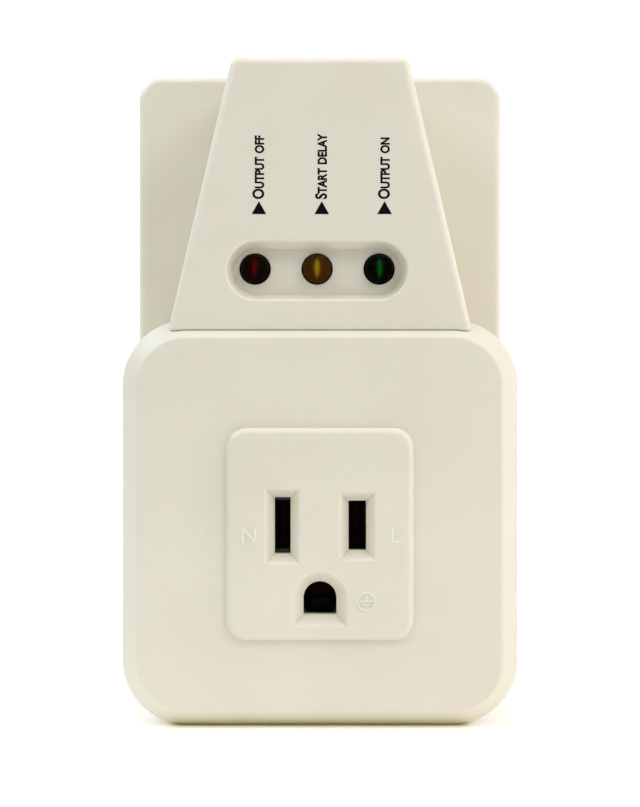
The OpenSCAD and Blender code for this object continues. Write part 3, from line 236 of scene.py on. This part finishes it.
def metal(name, base, stain, roughness, drawn=(1, 14, 1)):
    """Metal with fine lines along the axes on which it is drawn out, and a faint stain."""
    f = Finish(name, base, roughness, Metallic=1.0)
    lines, stains = f.noise(0.09 * MM, 3.0, drawn), f.noise(2.5 * MM, 4.0)
    f.rough(lines, roughness - 0.08, roughness + 0.12)
    f.tint(f.ramp(stains, 0.45, 0.75, 0.0, 0.45), stain)
    f.bump(lines, 0.003 * MM)
    return f.material


def lens(name, node, body, glow, painted_streak):
    """Tinted clear resin, drawn opaque, with its tint darkened by the painted shade of the lamp's
    inside. The bright ellipse is a painted reflection: the lamp's inner frame seen through the
    dome.
    """
    f = Finish(name, body, 0.35, Specular_IOR_Level=0.015)
    low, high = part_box(node)
    middle = (Vector(low) + Vector(high)) / 2
    moved = f.add("ShaderNodeVectorMath", {0: f.place}, {1: middle}, operation="SUBTRACT")
    axes = f.add("ShaderNodeSeparateXYZ", {"Vector": moved.outputs[0]})
    wide = f.math("DIVIDE", axes.outputs["X"], LENS_HALF_WIDTH)
    tall = f.math("DIVIDE", axes.outputs["Z"], LENS_HALF_HEIGHT)
    wide_squared = f.math("MULTIPLY", wide, wide)
    tall_squared = f.math("MULTIPLY", tall, tall)
    outer = f.math("ADD", wide_squared, tall_squared)
    core = f.math("ADD", f.math("MULTIPLY", wide_squared, LENS_CORE_WEIGHT), tall_squared)
    # Painted reflection: a bright ellipse and a narrower streak in the middle of the lens
    f.tint(f.ramp(outer, 0.0, 1.0, 1.0, 0.0), glow)
    f.tint(f.ramp(core, 0.0, 1.0, 0.6, 0.0), painted_streak)
    f.bump(f.noise(0.8 * MM), 0.004 * MM)
    return f.material


def board_laminate():
    """Green lacquered board with a faint glass weave and mottled copper under the lacquer."""
    f = Finish("board_laminate", "#1E5A34", 0.32, Coat_Weight=0.4, Coat_Roughness=0.15)
    copper = f.ramp(f.noise(4 * MM, 0.0), 0.5, 0.52)
    weave = f.noise(0.35 * MM, 0.0, (1, 1, 3))
    f.tint(f.math("MULTIPLY", copper, 0.6), "#2F7A45")
    f.bump(weave, 0.006 * MM)
    f.bump(copper, 0.03 * MM)
    return f.material


def printing_ink():
    """Matt black printing ink, a little uneven."""
    f = Finish("printing_ink", "#08070A", 0.6, Specular_IOR_Level=0.05)
    f.tint(f.ramp(f.noise(0.25 * MM, 3.0), 0.45, 0.8, 0.0, 0.25), "#1C1B20")
    f.bump(f.noise(0.1 * MM, 2.0), 0.004 * MM)
    return f.material


def glossy(name, base, shade, roughness=0.34):
    """Smooth dipped or moulded surface with a little unevenness."""
    f = Finish(name, base, roughness, Coat_Weight=0.2, Coat_Roughness=0.2)
    clouds, gloss, dents = f.noise(3 * MM, 3.0), f.noise(1 * MM), f.noise(1.5 * MM, 3.0)
    f.tint(f.ramp(clouds, 0.35, 0.75, 0.0, 0.5), shade)
    f.rough(gloss, roughness - 0.05, roughness + 0.1)
    f.bump(dents, 0.03 * MM)
    return f.material


def floor_paper():
    """White paper under and behind the part, bright enough to wash out. Round the part's foot it
    glows, and its colour and glow there are tinted warm: painted warm bounce light in the part's
    shade.
    """
    f = Finish("floor_paper", "#E7E7E6", 0.6, Specular_IOR_Level=0.2)
    # Painted warm bounce: the emission is warm near the part and turns white behind it
    f.shader.inputs["Emission Color"].default_value = (1.0, 0.93, 0.78, 1)
    axes = f.add("ShaderNodeSeparateXYZ", {"Vector": f.place}).outputs
    squares = []
    for axis, half in FOOT_HALF.items():
        past_edge = f.math("MAXIMUM", f.math("SUBTRACT", f.math("ABSOLUTE", axes[axis]), half), 0)
        squares.append(f.math("MULTIPLY", past_edge, past_edge))
    away = f.math("SQRT", f.math("ADD", *squares))
    near_glow = f.math("MULTIPLY", f.ramp(away, *GLOW_STARTS),
                       f.ramp(away, *GLOW_FADES, GLOW_NEAR_FOOT, 0.0))
    glow = f.math("MAXIMUM", f.ramp(axes["Y"], *BACK_GLOWS), near_glow)
    f.tree.links.new(glow, f.shader.inputs["Emission Strength"])
    f.tint(f.ramp(axes["Y"], *BACK_WHITENS), "#FFFFFF", "Emission Color")
    # Painted warm shade round the foot: a yellow tint for the light the part throws into its shadow
    f.tint(f.ramp(away, *SHADE_FADES, SHADE_AT_FOOT, 0.0), "#E8D890")
    f.tint(f.ramp(axes["Y"], *BACK_DARKENS), "#707070")
    f.bump(f.noise(2 * MM, 3.0), 0.01 * MM)
    return f.material


def dress(frame):
    """Gives every CAD node the finish of its material slot, or its own."""
    finishes = {
        "cover_plastic": cover_plastic(),
        "shell_plastic": cover_plastic("shell_plastic", "#E0DAC7", "#D5CEB8"),
        "screw_steel": metal("screw_steel", "#C4C6C6", "#8E8E88", 0.37, (1, 1, 1)),
        "blade_brass": metal("blade_brass", "#D6BD86", "#A88C54", 0.37),
        "copper_strip": metal("copper_strip", "#A06A48", "#6E4028", 0.42),
        # Outlet contacts: tarnish, darkened further as painted shade for the inside of the slots
        "contact_tarnish_and_shade": metal("contact_tarnish_and_shade", "#2C1911", "#1C100B", 0.5),
        "coil_winding": metal("coil_winding", "#A85A34", "#7A3C20", 0.4, (14, 1, 14)),
        "inner_plastic": inner_plastic("inner_plastic", "#E2DED2", 0.5),
        "base_plastic": inner_plastic("base_plastic", "#1A1A1C", 0.5),
        "board_laminate": board_laminate(),
        # Lens bodies: tints darkened by the painted shade of the lamps' insides; the two lighter
        # colours paint the reflection's ellipse and streak
        "red_lens": lens("red_lens", "red_lamp", "#0E0202", "#2C0406", "#5A0808"),
        "amber_lens": lens("amber_lens", "amber_lamp", "#3C2004", "#644A06", "#948410"),
        "green_lens": lens("green_lens", "green_lamp", "#020403", "#052408", "#0C5A12"),
        "tinned_wire": metal("tinned_wire", "#CFCFCB", "#9C9C96", 0.37, (1, 1, 1)),
        "wire_insulation": glossy("wire_insulation", "#A8281E", "#7E1A14"),
        "relay_plastic": glossy("relay_plastic", "#26507A", "#1C3C5E"),
        "relay_iron": metal("relay_iron", "#A4A6A8", "#6E7072", 0.38, (1, 1, 1)),
        "film_box": glossy("film_box", "#C8A830", "#A88A20"),
        "sleeve_blue": glossy("sleeve_blue", "#232C52", "#161C38"),
        "disc_coating": glossy("disc_coating", "#2860A8", "#1C4880", 0.35),
        "fuse_glass": glossy("fuse_glass", "#D6DADA", "#B4B8B8", 0.12),
        "part_body": inner_plastic("part_body", "#232325", 0.45),
        "resistor_body": glossy("resistor_body", "#C2A274", "#A8875A", 0.4),
    }
    for sub in frame["record"]["subparts"]:
        mesh = frame["nodes"][sub["node"]].data
        mesh.materials.clear()
        mesh.materials.append(finishes[NODE_FINISHES.get(sub["node"], sub["material_slot"])])


def link(name, data):
    """Object in the scene with the given data."""
    made = bpy.data.objects.new(name, data)
    bpy.context.scene.collection.objects.link(made)
    return made


def link_bmesh(name, bm):
    """Object in the scene made of a bmesh, which is used up."""
    mesh = bpy.data.meshes.new(name)
    bm.to_mesh(mesh)
    bm.free()
    return link(name, mesh)


def raised(name, outlines, rise, y):
    """Flat raised shapes on a face that looks to -Y: outlines are loops of (x, z) points."""
    bm = bmesh.new()
    for loop in outlines:
        low = [bm.verts.new((x, y + rise, z)) for x, z in loop]
        face = bm.faces.new(low)
        out = bmesh.ops.extrude_face_region(bm, geom=[face])
        moved = [v for v in out["geom"] if isinstance(v, bmesh.types.BMVert)]
        bmesh.ops.translate(bm, verts=moved, vec=(0, -2 * rise, 0))
    bmesh.ops.recalc_face_normals(bm, faces=bm.faces)
    return link_bmesh(name, bm)


def lettering(name, text, height, x, z, y, rise, turn=0.0, bevel=0.0, align="CENTER", bold=0.0,
              narrow=1.0):
    """Raised lettering on a face that looks to -Y, turned anticlockwise as seen from the front.

    Lower-case letters become small capitals.
    """
    curve = bpy.data.curves.new(name, "FONT")
    curve.body = text
    curve.small_caps_scale = LETTER_SMALL
    for mark in curve.body_format:
        mark.use_small_caps = True
    curve.offset = bold
    curve.size = height / CAPITAL_SHARE
    curve.extrude = rise
    curve.bevel_depth = bevel
    curve.bevel_resolution = 2
    curve.resolution_u = 6
    curve.align_x = align
    curve.align_y = "CENTER"
    flat = link(name + "_curve", curve)
    evaluated = flat.evaluated_get(bpy.context.evaluated_depsgraph_get())
    mesh = bpy.data.meshes.new_from_object(evaluated)
    bpy.data.objects.remove(flat)
    mesh.transform(Matrix.Translation((x, y, z)) @ Matrix.Rotation(math.pi / 2, 4, "X")
                   @ Matrix.Rotation(turn, 4, "Z") @ Matrix.Diagonal((narrow, 1, 1, 1)))
    mesh.name = name
    return link(name, mesh)


def hold(piece, material):
    """Makes a piece ride on the case, with its material."""
    piece.data.materials.clear()
    piece.data.materials.append(material)
    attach(piece, "case")


def printed_marks(tower_y, ink):
    """An arrow and a short word over each lamp."""
    half = ARROW_WIDTH / 2
    for node, word in LAMP_WORDS.items():
        low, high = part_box(node)
        x = (low[0] + high[0]) / 2 + PRINT_SHIFT
        corners = [(x - half, ARROW_Z), (x + half, ARROW_Z), (x, ARROW_Z + ARROW_HEIGHT)]
        hold(raised(node + "_arrow", [corners], PRINT_RISE, tower_y), ink)
        label = lettering(node + "_word", word, LETTER_HEIGHT, x, LETTER_Z, tower_y, PRINT_RISE,
                          turn=math.pi / 2, align="LEFT", bold=LETTER_BOLD, narrow=LETTER_NARROW)
        hold(label, ink)


def ring_points(r, count=40):
    """Points of a circle in X and Z."""
    angles = [2 * math.pi * i / count for i in range(count)]
    return [(r * math.cos(a), r * math.sin(a)) for a in angles]


def earth_mark(face_y, material):
    """Raised earth sign: a ring with a stem and three bars."""
    cx, cz = EARTH_MARK
    line = EARTH_MARK_LINE
    bm = bmesh.new()
    outer, inner = ring_points(EARTH_MARK_R), ring_points(EARTH_MARK_R - line)
    loops = [[bm.verts.new((cx + x, y, cz + z)) for x, z in points]
             for points, y in ((outer, face_y + MARK_RISE), (outer, face_y - MARK_RISE),
                               (inner, face_y - MARK_RISE), (inner, face_y + MARK_RISE))]
    count = len(outer)
    for a, b in zip(loops, loops[1:] + loops[:1]):
        for i in range(count):
            j = (i + 1) % count
            bm.faces.new((a[i], a[j], b[j], b[i]))
    bmesh.ops.recalc_face_normals(bm, faces=bm.faces)
    hold(link_bmesh("earth_ring", bm), material)

    def bar(x0, x1, z0, z1):
        return [(cx + x0, cz + z0), (cx + x1, cz + z0), (cx + x1, cz + z1), (cx + x0, cz + z1)]

    half_bar = EARTH_MARK_R * 0.72
    step = EARTH_MARK_R * 0.33
    stem_top = EARTH_MARK_R * 0.64
    bars = [bar(-half_bar * share, half_bar * share, -i * step - line / 2, -i * step + line / 2)
            for i, share in enumerate(EARTH_BAR_SHARES)]
    bars.append(bar(-line / 2, line / 2, line / 2, stem_top))
    hold(raised("earth_bars", bars, MARK_RISE, face_y), material)


def raised_marks(face_y, material):
    """The letters beside the slots and the earth sign beside the earth hole."""
    bevel = MARK_RISE * MARK_BEVEL_SHARE
    for letter, x in MARK_X.items():
        made = lettering("mark_" + letter, letter, MARK_LETTER, x, MARK_Z, face_y,
                         MARK_RISE - bevel, bevel=bevel, bold=MARK_THIN)
        hold(made, material)
    earth_mark(face_y, material)


def area_light(name, place, size, power, tone):
    """Soft rectangular light aimed at the part."""
    data = bpy.data.lights.new(name, "AREA")
    data.shape = "RECTANGLE"
    data.size, data.size_y = size
    data.energy = power
    data.color = tone
    made = link(name, data)
    made.location = place
    aim = Vector(LIGHT_TARGET) - Vector(place)
    made.rotation_euler = aim.to_track_quat("-Z", "Y").to_euler()


def studio():
    """White sweep, soft lights and a faint light from all round."""
    profile = [(SWEEP_FRONT, 0.0), (SWEEP_BACK, 0.0)]
    angles = [math.pi / 2 * i / SWEEP_STEPS for i in range(1, SWEEP_STEPS + 1)]
    profile += [(SWEEP_BACK + SWEEP_RADIUS * math.sin(a), SWEEP_RADIUS - SWEEP_RADIUS * math.cos(a))
                for a in angles]
    profile.append((SWEEP_BACK + SWEEP_RADIUS, SWEEP_TOP))
    bm = bmesh.new()
    left, right = [[bm.verts.new((x, y, z)) for y, z in profile]
                   for x in (-SWEEP_HALF_WIDTH, SWEEP_HALF_WIDTH)]
    for i in range(len(profile) - 1):
        bm.faces.new((left[i], right[i], right[i + 1], left[i + 1]))
    sweep = link_bmesh("sweep", bm)
    for face in sweep.data.polygons:
        face.use_smooth = True
    sweep.data.materials.append(floor_paper())

    world = bpy.data.worlds.new("studio_world")
    bpy.context.scene.world = world
    world.use_nodes = True
    background = world.node_tree.nodes["Background"]
    background.inputs["Color"].default_value = WORLD_COLOUR
    background.inputs["Strength"].default_value = WORLD_STRENGTH
    for light in SOFT_LIGHTS:
        area_light(*light)


def camera(block_y):
    """Level camera square to the block's front, at the photograph's distance and height."""
    data = bpy.data.cameras.new("camera")
    data.sensor_fit = "AUTO"
    data.sensor_width = SENSOR
    data.lens = FOCAL_PX / PHOTO_HEIGHT_PX * SENSOR
    data.clip_start = CLIP_START
    made = link("camera", data)
    made.location = (0, block_y - CAMERA_DISTANCE, CAMERA_HEIGHT)
    made.rotation_euler = (math.pi / 2, 0, 0)
    bpy.context.scene.camera = made


with open("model.json") as file:
    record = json.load(file)
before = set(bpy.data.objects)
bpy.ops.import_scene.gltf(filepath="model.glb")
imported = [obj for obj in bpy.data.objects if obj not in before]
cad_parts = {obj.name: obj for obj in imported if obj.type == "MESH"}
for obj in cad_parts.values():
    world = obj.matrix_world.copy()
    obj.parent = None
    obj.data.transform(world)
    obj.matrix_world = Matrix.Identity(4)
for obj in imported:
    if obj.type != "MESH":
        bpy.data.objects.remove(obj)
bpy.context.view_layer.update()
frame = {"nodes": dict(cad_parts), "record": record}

outlet_face_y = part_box("outlet_cover")[0][1]
tower_face_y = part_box("upper_cover")[0][1]

camera(outlet_face_y + FACE_RISE)
studio()
dress(frame)
printed_marks(tower_face_y, printing_ink())
# The raised marks use a lighter copy of the cover plastic: a painted highlight for their ridges
# catching the light from above
raised_marks(outlet_face_y, cover_plastic("mark_plastic_painted_highlight", "#EEEADB", "#E9E5D5", 0.0))

bpy.context.scene.view_settings.view_transform = "Standard"
